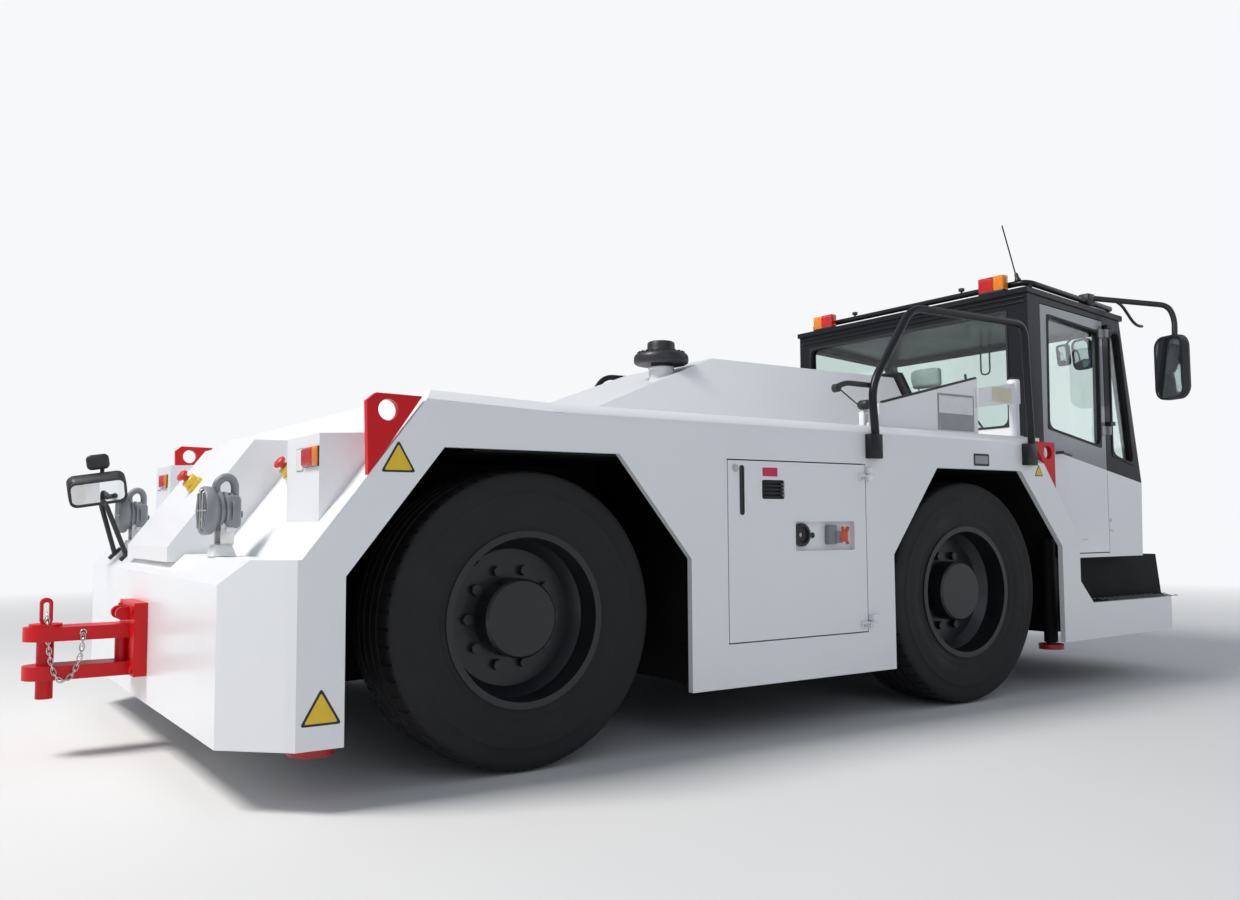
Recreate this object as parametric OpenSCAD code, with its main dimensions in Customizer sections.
// Aircraft pushback tractor with a cab on the right, a low hood along its middle,
// a ballasted tail and a tow jaw at each end.
// Millimetres. +X is forward, the right-hand side is -Y, the ground is Z = 0.
// Inside the modules X = 0 lies midway between the axles; part() moves the middle
// of the whole length to the origin.

/* [Body] */
// Overall width over the side plates
body_w = 2650; // [2500:10:2800]
// Distance of the flat rear face behind the middle of the wheelbase
tail_x = 2141; // [2080:1:2300]
// Distance of the flat front face ahead of the middle of the wheelbase
nose_x = 3030; // [2980:1:3200]
// Width taken off each side by the bevelled corners
bevel_y = 181; // [120:1:220]
// Length of the bevelled rear corners
rear_bevel_x = 180; // [120:1:220]
// Length of the bevelled front corners
front_bevel_x = 270; // [200:1:300]
// Thickness of the side plates
plate_t = 25; // [15:1:40]
// Height of the lower edge of the tail
tail_low = 177; // [150:1:230]
// Height of the lower edge of the skirt between the wheels
skirt_low = 212; // [180:1:260]
// Height of the lower edge of the skirt ahead of the front wheels
nose_low = 240; // [200:1:280]
// Height of the low deck at the tail
tail_deck_z = 727; // [690:1:760]
// Height of the side edge at the rear end of the long decks
deck_rear_z = 1224; // [1190:1:1260]
// Height of the side edge at the front end of the long decks
deck_front_z = 1108; // [1090:1:1130]
// Size of the sloped strip along each deck's edge
deck_edge = 33; // [20:1:50]
// Thickness of the deck plates
deck_t = 12; // [8:1:20]

/* [Hood] */
// Half width of the hood's flat top
hood_half = 376; // [340:1:400]
// Lean of the hood's side walls
hood_lean = 28; // [15:0.5:32]
// Height of the hood's flat top
hood_top_z = 1636; // [1560:1:1680]
// Height of the hood's low rear part
hood_low_z = 1285; // [1270:1:1340]
// Place of the hood's crest, ahead of the middle of the wheelbase
hood_crest_x = 370; // [300:1:450]
// Slope of the hood's ramp
hood_ramp = 21; // [18:0.5:24]
// Thickness of the hood's walls
hood_t = 12; // [6:1:20]

/* [Wheels] */
// Distance between the axles
wheelbase = 2312; // [2280:1:2350]
// Outer diameter of the tyres
tyre_d = 1014; // [980:1:1040]
// Width of the tyres
tyre_w = 312; // [290:1:330]
// Distance of a wheel's middle plane from the centre line
wheel_y = 1095; // [1080:1:1105]
// Diameter over the rim flanges
rim_d = 597; // [580:1:610]
// Diameter of the circle of wheel nuts
nut_pcd = 335; // [325:1:350]
// Number of wheel nuts
nut_count = 10; // [8:1:12]
// Distance of the kingpins from the centre line
kingpin_y = 900; // [890:1:910]
// Radius of the wheel spindles
spindle_r = 50; // [40:1:60]
// Radius of the kingpins
kingpin_r = 34; // [28:1:40]

/* [Cab] */
// Distance of the cab's rear wall ahead of the middle of the wheelbase
cab_x = 1700; // [1690:1:1730]
// Distance of the cab's foot at the front from the middle of the wheelbase
cab_front_x = 2660; // [2600:1:2720]
// Gap between the side plate and the cab's right-hand wall
cab_gap = 67; // [55:1:90]
// Cab's left-hand wall
cab_left = 375; // [300:1:450]
// Height of the cab's floor underside
cab_low_z = 640; // [630:1:660]
// Height of the roof's edge at the rear
roof_rear_z = 1970; // [1900:1:2000]
// Height of the roof's edge at the front
roof_front_z = 1905; // [1860:1:1950]
// Thickness of the cab's walls
cab_t = 40; // [30:1:50]
// Thickness of the panes
glass_t = 6; // [5:1:8]

/* [Tow jaws] */
// Reach of a tow jaw from the body's face
jaw_reach = 391; // [360:1:420]
// Height of the gap's middle between the jaws
jaw_z = 371; // [360:1:385]
// Gap between the upper and the lower jaw
jaw_gap = 88; // [70:1:95]
// Thickness of a jaw
jaw_t = 50; // [40:1:56]
// Width of the jaws
jaw_w = 132; // [110:1:150]
// Thickness of a jaw's foot plate
jaw_plate_t = 46; // [30:1:60]
// Radius of the tow pin
pin_r = 29; // [22:1:36]

/* [Openings and doors] */
// Gap round every door
door_gap = 5; // [4:1:8]
// Rear edge of a service door
hatch_rear_x = -341; // [-400:1:-300]
// Front edge of a service door
hatch_front_x = 412; // [380:1:430]
// Lower edge of a service door
hatch_low_z = 374; // [340:1:400]
// Upper edge of a service door
hatch_top_z = 1070; // [1040:1:1080]

/* [Hidden] */
$fn = 48;

paint_white = "whitesmoke";
paint_black = "#202224";
paint_red = "#a01c1c";
paint_grey = "#5a5e62";

half_w = body_w / 2;
inner_y = half_w - plate_t;
cab_right = inner_y - cab_gap;
x_mid = (nose_x - tail_x) / 2;
axle_x = wheelbase / 2;
tyre_r = tyre_d / 2;
slip = 0.3;
far = 4000;

// Side view of the deck's edge line
deck_rear_x = -1577;
deck_front_x = 1565;
deck_fall = (deck_rear_z - deck_front_z) / (deck_front_x - deck_rear_x);
function edge_z(x) = deck_rear_z - (x - deck_rear_x) * deck_fall;
function deck_z(x) = edge_z(x) + deck_edge;

// Where the tail's slope starts and where it reaches the deck
slope_low_x = -1949;
slope_top_x = -1535;
strip_x = tail_deck_z - 654;

// Wheel arches, each point as distance from the axle and height
arch_rear = [[-661, -20], [-661, 675], [-344, 1072], [325, 1072], [642, 697], [642, -20]];
arch_front = [[-580, -20], [-580, 690], [-287, 1065], [317, 1065], [629, 705], [629, -20]];
// Wheel wells behind the arches, cut with more room than the arches
well_y = 600;
well_top = 1076;
well_rear = [-axle_x - 670, -axle_x + 702];
well_front = [axle_x - 640, axle_x + 804];
tail_wall_x = -axle_x - 444;
hood_foot_z = 1130;

// Moves a piece from the wheelbase frame to the frame of the whole part
module part(c) {
    color(c) translate([-x_mid, 0, 0]) children();
}

// A profile in X and Z, carried from y0 to y1
module slab(points, y0, y1) {
    translate([0, y1, 0]) rotate([90, 0, 0]) linear_extrude(y1 - y0) polygon(points);
}

// A box between two corners
module box(low, high) {
    translate(low) cube(high - low);
}

module both_sides() {
    children();
    mirror([0, 1, 0]) children();
}

// A round bar from a to b
module bar(a, b, r) {
    v = b - a;
    translate(a) rotate([0, acos(v[2] / norm(v)), atan2(v[1], v[0])])
        cylinder(h = norm(v), r = r);
}

// A bent tube through a list of points, with a slightly larger ball at each bend
module tube(points, r) {
    for (i = [0 : len(points) - 2]) bar(points[i], points[i + 1], r);
    for (i = [1 : len(points) - 2]) translate(points[i]) sphere(r = r + 1);
}

// A rounded rectangle standing in X and Z, centred, with its corners cut round
module round_plate(w, h, r, t) {
    rotate([90, 0, 0]) translate([0, 0, -t / 2]) linear_extrude(t) rounded(w, h, r);
}

module rounded(w, h, r) {
    square([w - 2 * r, h], center = true);
    square([w, h - 2 * r], center = true);
    for (sx = [-1, 1], sy = [-1, 1])
        translate([sx * (w / 2 - r), sy * (h / 2 - r)]) circle(r = r);
}

// Plan of the body with its bevelled corners
module body_plan() {
    polygon([[-tail_x, -half_w + bevel_y], [-tail_x + rear_bevel_x, -half_w],
        [nose_x - front_bevel_x, -half_w], [nose_x, -half_w + bevel_y],
        [nose_x, half_w - bevel_y], [nose_x - front_bevel_x, half_w],
        [-tail_x + rear_bevel_x, half_w], [-tail_x, half_w - bevel_y]]);
}

// Outer form of the tail and the long decks, with the sloped strips along their edges
module body_form() {
    difference() {
        intersection() {
            slab([[-tail_x, tail_low], [-tail_x, 654], [-tail_x + strip_x, tail_deck_z],
                [slope_low_x, tail_deck_z], [slope_top_x, deck_z(slope_top_x)],
                [1700, deck_z(1700)], [1700, tail_low]], -half_w, half_w);
            linear_extrude(far) body_plan();
        }
        both_sides() edge_cut();
    }
}

// What lies outside the 45 degree strip along a deck's edge
module edge_cut() {
    translate([deck_rear_x, -half_w, deck_rear_z]) rotate([0, atan(deck_fall), 0])
        rotate([45, 0, 0]) translate([-600, -200, 0]) cube([far, 400, 300]);
}

module arch_cut(axle, points) {
    slab([for (p = points) [axle + p[0], p[1]]], -half_w - 10, half_w + 10);
}

// Red lugs are set into the side plates: outline of the rear and the front lug
lug_rear = [[-1752, 977], [-1758, 1206], [-1728, 1231], [-1577, 1228]];
lug_front = [[1747, 985], [1577, 1212], [1747, 1209]];
lug_hole_r = 33;
// Step tread and the face behind it
tread_z = 418;
riser_y = half_w - bevel_y - 8;
lug_t = 40;

wall_t = 15;
module frame() {
    part(paint_black) difference() {
        both_sides() {
            box([tail_wall_x, -well_y, 260], [well_front[1], -well_y + wall_t, well_top]);
            for (w = [[well_rear[1], hatch_rear_x - 60], [hatch_front_x + 50, well_front[0]]])
                box([w[0], -inner_y, skirt_low + 18], [w[1], -well_y, well_top]);
            box([hatch_rear_x - 60, -inner_y, skirt_low + 18],
                [hatch_front_x + 50, -well_y, hatch_low_z - 30]);
            box([-1389, -inner_y, well_top - 12], [1660, -well_y + wall_t, well_top]);
        }
        for (side = [-1, 1]) translate([axle_x, side * well_y, tyre_r])
            box([-360, -40, -307], [300, 40, 223]);
        both_sides() translate([-axle_x, -well_y, tyre_r]) rotate([90, 0, 0])
            cylinder(h = 80, r = 131, center = true);
        slab([[1692, 1100], [1927, 758], [1952, cab_low_z], [far, cab_low_z], [far, far],
            [1692, far]], -half_w, half_w);
    }
}

// Beams between the frame's two walls, one of them over the front axle
module cross_members() {
    reach = well_y - wall_t - 0.05;
    part(paint_black) {
        box([axle_x - 100, -reach, tyre_r + 200], [axle_x + 100, reach, tyre_r + 260]);
        for (x = [tail_wall_x, -axle_x + 456, 100, axle_x - 456, well_front[1] - 60])
            box([x, -reach, 260], [x + 60, reach, 380]);
    }
}

module engine() {
    part(paint_grey) box([-680, -300, 380], [740, 300, 1120]);
}

module rear_body() {
    part(paint_white) difference() {
        union() {
            intersection() {
                body_form();
                box([-far, -inner_y, 0], [-1400, inner_y, far]);
            }
            slab([[-2126, 700], [-2126, 752], [-1829, 1147], [-1600, 1150], [-1520, 1236],
                [-1400, 1275], [-1400, 700]], -hood_half, hood_half);
        }
        arch_well();
        box([tail_wall_x - slip, -well_y, -10], [-1390, well_y, 1085]);
        box([-1520, -hood_half, 1080], [-1390, hood_half, far]);
        jack_holes(jack_rear_x);
    }
}

// Room for the rear wheels inside the tail, whose ballast ends ahead at tail_wall_x
module arch_well() {
    for (side = [-1, 1]) scale([1, side, 1])
        slab([[well_rear[0], -20], [well_rear[0], 690], [-1505, well_top], [-1390, well_top],
            [-1390, -20]], -inner_y - 10, -well_y + 1);
}

module jack_holes(x) {
    both_sides() translate([x, -jack_y, 100]) cylinder(h = 540, r = jack_r + 0.05);
}
jack_r = 24;
jack_y = riser_y + 44;
jack_rear_x = well_rear[0] - 42;
jack_front_x = well_front[1] - 75;

module side_plates() {
    part(paint_white) both_sides() difference() {
        intersection() {
            union() {
                body_form();
                slab([[1400, 230], [1400, deck_z(1400)], [1655, deck_z(1655)], [1655, 1108],
                    [1747, 985], [1905, 780], [1930, 650], [1930, 530], [2035, 420],
                    [2760, 420], [2760, nose_low]], -half_w, half_w);
            }
            box([-far, -half_w, 0], [nose_x - front_bevel_x, -inner_y, far]);
            slab([[-tail_x, tail_low], [-tail_x, far], [nose_x, far], [nose_x, 252],
                [1840, nose_low], [1700, nose_low], [1700, skirt_low], [-900, skirt_low],
                [-900, tail_low]], -half_w, half_w);
        }
        edge_cut();
        arch_cut(-axle_x, arch_rear);
        arch_cut(axle_x, arch_front);
        box([hatch_rear_x, -far, hatch_low_z], [hatch_front_x, -100, hatch_top_z]);
        slab(lug_rear, -half_w - 5, -inner_y + 5);
        slab(lug_front, -half_w - 5, -inner_y + 5);
    }
    part(paint_white) both_sides() hatch_pins();
}

module deck() {
    part(paint_white) difference() {
        intersection() {
            body_form();
            translate([deck_rear_x, 0, deck_rear_z + deck_edge - deck_t])
                rotate([0, atan(deck_fall), 0]) box([0, -inner_y, 0], [far, inner_y, 2 * deck_t]);
            box([-1400, -inner_y, 0], [cab_x - 10, inner_y, far]);
        }
        hood_form(0);
    }
}

// Outer form of the hood, or its room with an inset of its walls' thickness
module hood_form(inset) {
    lean = tan(hood_lean);
    top = hood_top_z - inset;
    crest = hood_crest_x + inset / 3;
    half = hood_half - inset;
    front = cab_x - 12 - inset;
    rear = -1400 + slip + inset;
    foot_half = half + lean * (top - hood_foot_z);
    intersection() {
        slab([[rear, hood_foot_z], [rear, hood_low_z - inset],
            [crest - (top - hood_low_z + inset) / tan(hood_ramp), hood_low_z - inset],
            [crest, top], [front, top], [front, hood_foot_z]], -900, 900);
        translate([-1500, 0, 0]) rotate([90, 0, 90]) linear_extrude(far) polygon([
            [-foot_half, hood_foot_z], [-half, top], [half, top], [foot_half, hood_foot_z]]);
    }
}

module hood() {
    part(paint_white) difference() {
        hood_form(0);
        hood_form(hood_t);
    }
}

module front_frame() {
    part(paint_black) {
        slab([[well_front[1] + slip, 262], [well_front[1] + slip, cab_low_z], [2960, cab_low_z],
            [3004.7, 420], [3004.7, 262]], -riser_y, riser_y);
        both_sides() {
            translate([0, 0, tread_z - 24]) linear_extrude(24) polygon([
                [well_front[1] + 80, -inner_y], [nose_x - front_bevel_x - slip, -inner_y],
                [nose_x - front_bevel_x - slip, -riser_y + 1], [well_front[1] + 80, -riser_y + 1]]);
            difference() {
                union() {
                    translate([jack_front_x, -jack_y, 225]) cylinder(h = 515, r = 33);
                    box([jack_front_x, -jack_y - 15, 560], [jack_front_x + 85, -riser_y + 30, 600]);
                }
                translate([jack_front_x, -jack_y, 200]) cylinder(h = 600, r = jack_r + 0.05);
            }
        }
    }
}

module front_skirt() {
    part(paint_white) difference() {
        intersection() {
            linear_extrude(420) body_plan();
            box([nose_x - front_bevel_x, -far, 252], [far, far, 420]);
        }
        linear_extrude(far, center = true) polygon([
            [nose_x - front_bevel_x - 1, -inner_y], [nose_x - front_bevel_x, -inner_y],
            [nose_x - plate_t, -half_w + bevel_y + 6], [nose_x - plate_t, half_w - bevel_y - 6],
            [nose_x - front_bevel_x, inner_y], [nose_x - front_bevel_x - 1, inner_y]]);
    }
}

module front_box() {
    part(paint_white) slab([[1712, 1085], [1712, 1140], [2560, 1108], [cab_front_x, 1040],
        [cab_front_x, cab_low_z], [1965, cab_low_z], [1940, 760]],
        cab_left + 10, cab_right);
}

module lamp_boxes() {
    part(paint_white) both_sides() difference() {
        slab([[-1862, 700], [-1862, 1110], [-1660, 1120], [-1560, 1200], [-1560, 700]],
            -1205, -886);
        slab([[-3000, 0], [-3000, tail_deck_z], [slope_low_x, tail_deck_z],
            [slope_top_x, deck_z(slope_top_x)], [-1000, 1300], [-1000, 0]], -1300, -800);
    }
}

module lamps() {
    part(paint_red) {
        both_sides() box([-1862 - 32, -1204, 1008], [-1862, -1060, 1072]);
        for (y = [-1022, 190]) box([1690, y - 90, roof_z(1690) + 0.05], [1742, y + 90, 2108]);
    }
}

module lifting_lugs() {
    part(paint_red) both_sides() for (l = [[lug_rear, -1689, 1180], [lug_front, 1690, 1160]])
        difference() {
            slab(l[0], -half_w, -inner_y);
            translate([l[1], -half_w, l[2]]) rotate([90, 0, 0])
                cylinder(h = 200, r = lug_hole_r, center = true);
        }
}

// Places of the tow pin and of the jaws' faces, from the jaw's foot plate
pin_x = -jaw_reach + 74;
jaw_top = jaw_z + jaw_gap / 2;
jaw_low = jaw_z - jaw_gap / 2;

// A tow jaw whose foot plate lies on the plane x = 0 and whose jaws point to -X
module hitch() {
    half = jaw_w / 2;
    difference() {
        union() {
            box([-jaw_plate_t, -150, jaw_low - jaw_t], [0, 150, jaw_top + jaw_t + 80]);
            for (z = [jaw_top, jaw_low - jaw_t]) {
                box([-jaw_reach + half, -half, z], [-jaw_plate_t + 1, half, z + jaw_t]);
                translate([-jaw_reach + half, 0, z]) cylinder(h = jaw_t, r = half);
            }
            translate([-jaw_plate_t - 16, 0, jaw_low - 1]) cylinder(h = jaw_gap + 2, r = 24);
            for (y = [-58, 34]) {
                translate([-jaw_plate_t - 24, y, jaw_top + jaw_t + 38]) rotate([-90, 0, 0])
                    cylinder(h = 24, r = 24);
                box([-jaw_plate_t - 24, y, jaw_top + jaw_t + 14],
                    [-jaw_plate_t + 1, y + 24, jaw_top + jaw_t + 62]);
            }
        }
        translate([pin_x, 0, 0]) cylinder(h = 1000, r = pin_r + 0.05);
    }
}

// A tow pin with its washer and a flat loop to lift it by
module hitch_pin() {
    top = jaw_top + jaw_t;
    translate([pin_x, 0, 0]) {
        translate([0, 0, 207]) cylinder(h = top - 205, r = pin_r);
        translate([0, 0, top]) cylinder(h = 10, r = pin_r + 26);
        translate([0, 0, top + 55]) difference() {
            round_plate(42, 98, 20, 26);
            round_plate(20, 66, 9, 40);
        }
    }
}

module hitch_rear() {
    part(paint_red) translate([-tail_x, 0, 0]) hitch();
}

module hitch_front() {
    part(paint_red) translate([nose_x, 0, 0]) mirror([1, 0, 0]) hitch();
}

module pin_rear() {
    part(paint_red) translate([-tail_x, 0, 0]) hitch_pin();
}

module pin_front() {
    part(paint_red) translate([nose_x, 0, 0]) mirror([1, 0, 0]) hitch_pin();
}

lamp_z = tail_deck_z + 150;
module work_lamps() {
    part(paint_grey) both_sides() translate([-2052, -770, 0]) {
        box([-33, -46, tail_deck_z], [47, 46, tail_deck_z + 18]);
        for (y = [-43, 36]) box([-30, y, tail_deck_z + 17], [44, y + 7, lamp_z - 30]);
        translate([0, 0, lamp_z]) rotate([0, -90, 0]) {
            translate([0, 0, -66]) cylinder(h = 82, r = 58);
            translate([0, 0, 12]) cylinder(h = 39, r = 80);
        }
        tube([[0, 0, lamp_z + 40], [-6, 0, lamp_z + 92], [22, 0, lamp_z + 110],
            [46, 0, lamp_z + 92], [46, 0, lamp_z + 40]], 11);
    }
}

module intake() {
    part(paint_black) difference() {
        translate([110, -300, 0]) {
            translate([0, 0, 1480]) cylinder(h = 112, r = 59);
            translate([0, 0, 1590]) rotate_extrude() polygon([[0, 0], [105, 0], [125, 20],
                [122, 45], [80, 95], [0, 110]]);
        }
        hood_form(0);
    }
}

module guard_rails() {
    out = half_w + 5;
    part(paint_black) both_sides() {
        tube([[455, -out, 1180], [455, -inner_y - 10, 1290], [450, -inner_y, 1380],
            [540, -inner_y, 1480], [722, -inner_y, 1764], [760, -inner_y, 1785],
            [1500, -inner_y, 1785], [1548, -inner_y, 1745], [1550, -inner_y, 1300],
            [1545, -out, 1180]], 16);
        box([425, -out - 20, 1085], [485, -half_w, 1195]);
        box([1500, -out - 20, 1085], [1570, -half_w, 1185]);
    }
}

screen_y = half_w - 75;
module side_screen() {
    part(paint_white) {
        slab([[578, deck_z(578) + 0.05], [578, 1340], [1257, 1500], [1257, deck_z(1257) + 0.05]],
            -screen_y - 6, -screen_y + 6);
        bar([1500, -screen_y, deck_z(1480) + 0.05], [1500, -screen_y, 1510], 20);
        bar([1250, -screen_y, 1446], [1500, -screen_y, 1446], 33);
    }
}

// Service door with its hinge barrels outside its front edge, for the right-hand side
module hatch() {
    difference() {
        union() {
            box([hatch_rear_x + door_gap, -half_w, hatch_low_z + door_gap],
                [hatch_front_x - door_gap, -inner_y, hatch_top_z - door_gap]);
            for (z = hatch_hinge_z) {
                box([hatch_front_x - 45, -half_w - 12, z - 22],
                    [hatch_front_x - door_gap, -half_w, z + 4]);
                box([hatch_front_x - door_gap - 1, -hatch_axis_y, z - 22],
                    [hatch_axis_x, -half_w - 6, z + 4]);
                translate([hatch_axis_x, -hatch_axis_y, z - 22]) cylinder(h = 26, r = 12);
            }
        }
        for (z = hatch_hinge_z) translate([hatch_axis_x, -hatch_axis_y, z - 30])
            cylinder(h = 60, r = 6.05);
        box([-170, -far, 916], [-46, -100, 996]);
        box([5, -far, 713], [340, -100, 833]);
    }
}
hatch_hinge_z = [415, 1020];
hatch_axis_x = hatch_front_x + 12;
hatch_axis_y = half_w + 17;

// Hinge pins of a service door, each on a bracket of the side plate
module hatch_pins() {
    for (z = hatch_hinge_z) {
        translate([hatch_axis_x, -hatch_axis_y, z - 22]) cylinder(h = 50, r = 6);
        box([hatch_axis_x - 12, -hatch_axis_y - 12, z + 9], [hatch_axis_x + 30, -half_w, z + 32]);
    }
}

module hatch_right() {
    part(paint_white) hatch();
}

module hatch_left() {
    part(paint_white) mirror([0, 1, 0]) hatch();
}

// Cab: outlines in side view
cab_outline = [[cab_x, 1100], [cab_x, roof_rear_z], [2510, roof_front_z], [2675, 1030],
    [cab_front_x, cab_low_z], [1960, cab_low_z], [1935, 760]];
cab_room = [[cab_x + cab_t, 1118], [cab_x + cab_t, roof_rear_z - cab_t], [2475, roof_front_z - cab_t],
    [2632, 1040], [cab_front_x - cab_t, cab_low_z + cab_t], [1990, cab_low_z + cab_t], [1972, 780]];
belt = [[1600, 1231], [2800, 1008]];
door_outline = [[1800, 1920], [1800, 960], [1932, 788], [1952, 665], [2345, 665], [2345, 1885]];
door_window = [[1860, 1869], [1845, 1293], [2299, 1214], [2309, 1827]];
quarter_window = [[2410, 1830], [2405, 1175], [2606, 1127], [2500, 1845]];
left_window = [[1800, 1890], [1800, 1290], [2500, 1150], [2610, 1140], [2480, 1845]];

module cab_box() {
    difference() {
        slab(cab_outline, -cab_right, cab_left);
        slab(cab_room, -cab_right + cab_t, cab_left - cab_t);
        slab([for (p = door_outline) [p[0] + (p[0] > 2300 ? door_gap : -door_gap),
            p[1] + (p[1] > 1800 ? door_gap : p[1] < 700 ? -door_gap : 0)]],
            -cab_right - 1, -cab_right + cab_t + 1);
        cab_windows();
    }
}

module cab_windows() {
    rear_window();
    slab(quarter_window, -cab_right - 1, -cab_right + cab_t + 1);
    slab(left_window, cab_left - cab_t - 1, cab_left + 1);
    front_window();
}

module rear_window() {
    translate([cab_x + cab_t / 2, 0, 0]) rotate([90, 0, 90])
        linear_extrude(cab_t + 2, center = true) polygon([[-1110, 1305], [-1110, 1890],
            [285, 1890], [285, 1665], [-400, 1665], [-590, 1305]]);
}

front_rake = atan((2675 - 2510) / (roof_front_z - 1030));
module front_window() {
    translate([2675, 0, 1030]) rotate([0, -front_rake, 0]) translate([-cab_t / 2, 0, 0])
        box([-cab_t / 2 - 1 - 20, -cab_right + 65, 55], [cab_t / 2 + 21, cab_left - 65, 830]);
}

module below_belt() {
    slab([[1600, 0], belt[0], belt[1], [2800, 0]], -2000, 2000);
}

module cab_shell() {
    part(paint_white) intersection() {
        cab_box();
        below_belt();
    }
}

module cab_frame() {
    part(paint_black) {
        difference() {
            cab_box();
            below_belt();
        }
        for (z = door_hinge_z) {
            translate([door_axis_x, -door_axis_y, z - 45]) cylinder(h = 65, r = 5);
            box([2351, -door_axis_y - 12, z + 4], [2395, -cab_right, z + 24]);
        }
        slab([[cab_x - 12, roof_rear_z], [cab_x - 12, roof_rear_z + 26],
            [2530, roof_front_z + 26], [2530, roof_front_z - 2]],
            -cab_right - 8, cab_left + 8);
    }
}

module cab_glass() {
    part("lightblue") {
        intersection() {
            rear_window();
            box([cab_x + 17, -far, 0], [cab_x + 17 + glass_t, far, far]);
        }
        slab(quarter_window, -cab_right + 17, -cab_right + 17 + glass_t);
        slab(left_window, cab_left - 17 - glass_t, cab_left - 17);
        intersection() {
            front_window();
            translate([2675, 0, 1030]) rotate([0, -front_rake, 0])
                box([-17 - glass_t, -far, -far], [-17, far, far]);
        }
    }
}

module cab_door() {
    part(paint_white) difference() {
        union() {
            slab(door_outline, -cab_right, -cab_right + cab_t);
            for (z = door_hinge_z) {
                box([2300, -cab_right - 12, z - 45], [2345, -cab_right, z - 1]);
                box([2344, -door_axis_y, z - 45], [door_axis_x, -cab_right - 6, z - 1]);
                translate([door_axis_x, -door_axis_y, z - 45]) cylinder(h = 44, r = 12);
            }
            tube([[1895, -cab_right + 5, 1170], [1895, -cab_right - 40, 1170],
                [1965, -cab_right - 40, 1158]], 8);
        }
        slab(door_window, -cab_right - 1, -cab_right + cab_t + 1);
        for (z = door_hinge_z) translate([door_axis_x, -door_axis_y, z - 60])
            cylinder(h = 120, r = 5.05);
    }
}
door_hinge_z = [1325, 1842];
door_axis_x = 2355;
door_axis_y = cab_right + 17;

module cab_door_glass() {
    part("lightblue") slab(door_window, -cab_right + 17, -cab_right + 17 + glass_t);
}

module roof_rail() {
    part(paint_black) {
        tube([[2500, -1190, 1975], [1762, -1190, 2036], [1762, 330, 2036], [2500, 330, 1975]], 14);
        for (x = [1790, 2480], y = [-1190, 330])
            bar([x, y, roof_z(x - 10) + 0.05], [x, y, roof_z(x) + 40], 10);
        bar([1762, -1141, 2036], [1762, -1057, 2358], 4);
    }
}

// Top of the roof at a place along it
function roof_z(x) = roof_rear_z + 26
    - (x - cab_x + 12) * (roof_rear_z - roof_front_z) / (2530 - cab_x + 12);

module seat_base() {
    part(paint_black) {
        box([1995, -600, cab_low_z + cab_t], [2260, -300, 900]);
    }
}

module seat() {
    part(paint_grey) {
        box([1900, -690, 900 + slip], [2350, -210, 1010]);
        slab([[1890, 1010 + slip], [1830, 1560], [1910, 1560], [1990, 1010 + slip]], -670, -230);
    }
}

module dash() {
    part(paint_black) {
        slab([[2618, cab_low_z + cab_t], [2619, 1020], [2575, 1120], [2465, 1085], [2470, 1000],
            [2580, 955], [2590, cab_low_z + cab_t]], -cab_right + 83, cab_left - 75);
        translate([2400, -450, 1170]) rotate([0, 155, 0]) translate([0, 0, 60])
            cylinder(h = 116, r = 25);
    }
}

module steering_wheel() {
    part(paint_black) translate([2400, -450, 1170]) rotate([0, 155, 0]) {
        rotate_extrude() translate([200, 0]) circle(r = 13);
        for (a = [0, 120, 240]) rotate([0, 0, a]) bar([0, 0, 0], [200, 0, 0], 9);
        cylinder(h = 60, r = 32);
    }
}

module mirrors() {
    part(paint_black) {
        bar([2440, -1222, roof_z(2424) + 0.05], [2440, -1222, 1960], 16);
        tube([[2440, -1222, 1957], [2612, -1410, 1957], [2640, -1450, 1886], [2640, -1450, 1760]],
            12);
        translate([2635, -1455, 1630]) rotate([0, 0, 101]) round_plate(238, 345, 60, 70);
        tube([[2480, 1100, 1112], [2480, 1100, 1180], [2640, 1460, 1400], [2640, 1460, 1560]], 12);
        translate([2640, 1460, 1660]) rotate([0, 0, 79]) round_plate(238, 345, 60, 70);
        for (y = [570, 850]) {
            translate([-2094, y, 701]) rotate([0, -45, 0]) box([-33, -14, 0.05], [33, 14, 16]);
            bar([-2099.7, y, 706.7], [-2180, y < 700 ? 660 : 760, 935], 8);
            translate([-2180, y < 700 ? 660 : 760, 935]) sphere(r = 12);
        }
        bar([-2180, 660, 935], [-2180, 760, 935], 10.5);
        translate([-2199, 700, 986]) rotate([0, -9, 0]) round_plate(232, 130, 30, 34);
        bar([-2180, 722, 935], [-2176, 722, 1095], 9);
        translate([-2199, 706, 1108]) rotate([0, -9, 0]) round_plate(90, 66, 20, 24);
    }
}

hub_r = 135;
hub_face = 115;
module rim() {
    flange = rim_d / 2;
    rotate_extrude() polygon([[0, 30], [0, hub_face], [hub_r - 8, hub_face], [hub_r, hub_face - 8],
        [hub_r, 22], [235, 22], [270, 60], [275, 150], [flange, 150], [flange, 140], [287, 138],
        [287, -138], [flange, -140], [flange, -150], [275, -150], [268, -20], [225, -6],
        [150, -6], [150, -40], [spindle_r + 0.05, -40], [spindle_r + 0.05, 30]]);
    for (i = [0 : nut_count - 1]) rotate([0, 0, i * 360 / nut_count])
        translate([nut_pcd / 2, 0, 18]) cylinder(h = 26, r = 19, $fn = 6);
}

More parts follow.
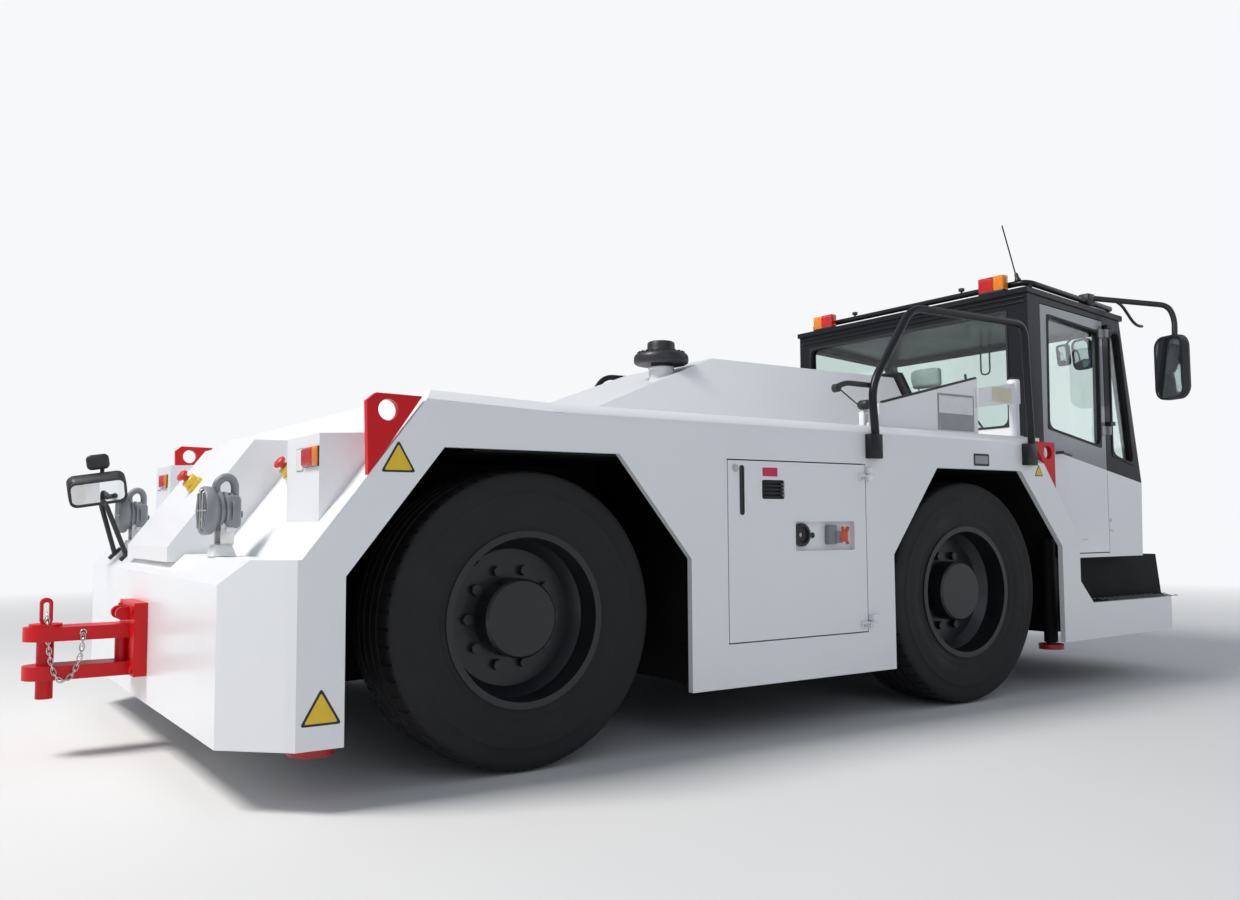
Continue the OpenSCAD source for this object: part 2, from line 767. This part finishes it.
module tyre() {
    h = tyre_w / 2;
    shoulder = 58;
    rotate_extrude() {
        polygon([[287 + slip, -136], [310, -138], [370, -h], [tyre_r - shoulder, -h],
            [tyre_r - shoulder, h], [370, h], [310, 138], [287 + slip, 136]]);
        translate([tyre_r - shoulder - 1, -h + shoulder]) square([shoulder + 1, tyre_w - 2 * shoulder]);
        for (s = [-1, 1]) translate([tyre_r - shoulder, s * (h - shoulder)]) circle(r = shoulder);
    }
}

// Stands a wheel's piece at an axle, with its outer side facing outwards
module at_wheel(x, side) {
    translate([x, side * wheel_y, tyre_r]) rotate([side < 0 ? 90 : -90, 0, 0]) children();
}

module rim_rear_right() {
    part(paint_black) at_wheel(-axle_x, -1) rim();
}
module tyre_rear_right() {
    part("#1a1a1a") at_wheel(-axle_x, -1) tyre();
}
module rim_rear_left() {
    part(paint_black) at_wheel(-axle_x, 1) rim();
}
module tyre_rear_left() {
    part("#1a1a1a") at_wheel(-axle_x, 1) tyre();
}
module rim_front_right() {
    part(paint_black) at_wheel(axle_x, -1) rim();
}
module tyre_front_right() {
    part("#1a1a1a") at_wheel(axle_x, -1) tyre();
}
module rim_front_left() {
    part(paint_black) at_wheel(axle_x, 1) rim();
}
module tyre_front_left() {
    part("#1a1a1a") at_wheel(axle_x, 1) tyre();
}

module axle_rear() {
    part(paint_black) translate([-axle_x, 0, tyre_r]) {
        both_sides() {
            rotate([90, 0, 0]) {
                cylinder(h = 900, r = 120);
                translate([0, 0, 890]) cylinder(h = 120, r = 190);
                translate([0, 0, 1000]) cylinder(h = wheel_y + 28 - 1000, r = spindle_r);
            }
            box([-110, -well_y + 15 + slip - 0.3, -100], [110, -400, 180]);
        }
        sphere(r = 220);
        rotate([0, 90, 0]) cylinder(h = 260, r = 110);
    }
}

module axle_front() {
    part(paint_black) translate([axle_x, 0, tyre_r]) {
        both_sides() difference() {
            union() {
                box([-55, -kingpin_y + 110, -80], [55, 0, 80]);
                box([-50, -kingpin_y + 110, -150], [50, -kingpin_y + 150, 150]);
                for (z = [-150, 105]) {
                    translate([0, -kingpin_y, z]) cylinder(h = 45, r = 50);
                    box([-50, -kingpin_y, z], [50, -kingpin_y + 150, z + 45]);
                }
                box([-120, -well_y + 100, -80], [120, -300, 200]);
            }
            translate([0, -kingpin_y, -200]) cylinder(h = 400, r = kingpin_r + 0.05);
            translate([0, -kingpin_y, -105 ]) cylinder(h = 210, r = 88);
        }
    }
}

arm_x = -190;
module knuckle() {
    translate([axle_x, -kingpin_y, tyre_r]) {
        translate([0, 0, -148]) cylinder(h = 296, r = kingpin_r);
        translate([0, 0, -95]) cylinder(h = 190, r = 70);
        rotate([90, 0, 0]) {
            cylinder(h = 110, r = 90);
            translate([0, 0, 100]) cylinder(h = 0.1 + wheel_y - kingpin_y + 28 - 100, r = spindle_r);
        }
        difference() {
            translate([0, 0, -95]) union() {
                box([arm_x, -16, 2], [-64, 16, 28]);
                translate([arm_x, 0, 0]) cylinder(h = 30, r = 30);
            }
            translate([arm_x, 0, -100]) cylinder(h = 50, r = 12.05);
        }
    }
}

module knuckle_right() {
    part(paint_black) knuckle();
}
module knuckle_left() {
    part(paint_black) mirror([0, 1, 0]) knuckle();
}

module tie_rod() {
    part(paint_black) translate([axle_x + arm_x, 0, tyre_r - 95]) {
        bar([0, -kingpin_y + 20, -30], [0, kingpin_y - 20, -30], 20);
        both_sides() translate([0, -kingpin_y, -50]) {
            cylinder(h = 40, r = 28);
            cylinder(h = 78, r = 12);
        }
    }
}

module jack_leg(foot_r) {
    cylinder(h = 440, r = jack_r);
    translate([0, 0, -25]) cylinder(h = 25, r = foot_r);
}

module jack_rear_right() {
    part(paint_red) translate([jack_rear_x, -jack_y, 165]) jack_leg(70);
}
module jack_rear_left() {
    part(paint_red) translate([jack_rear_x, jack_y, 165]) jack_leg(70);
}
module jack_front_right() {
    part(paint_red) translate([jack_front_x, -jack_y, 215]) jack_leg(60);
}
module jack_front_left() {
    part(paint_red) translate([jack_front_x, jack_y, 215]) jack_leg(60);
}

frame();
cross_members();
engine();
rear_body();
side_plates();
deck();
hood();
front_frame();
front_skirt();
front_box();
lamp_boxes();
lamps();
lifting_lugs();
hitch_rear();
hitch_front();
pin_rear();
pin_front();
work_lamps();
intake();
guard_rails();
side_screen();
hatch_right();
hatch_left();
cab_shell();
cab_frame();
cab_glass();
cab_door();
cab_door_glass();
roof_rail();
seat_base();
seat();
dash();
steering_wheel();
mirrors();
axle_rear();
axle_front();
knuckle_right();
knuckle_left();
tie_rod();
rim_rear_right();
tyre_rear_right();
rim_rear_left();
tyre_rear_left();
rim_front_right();
tyre_front_right();
rim_front_left();
tyre_front_left();
jack_rear_right();
jack_rear_left();
jack_front_right();
jack_front_left();
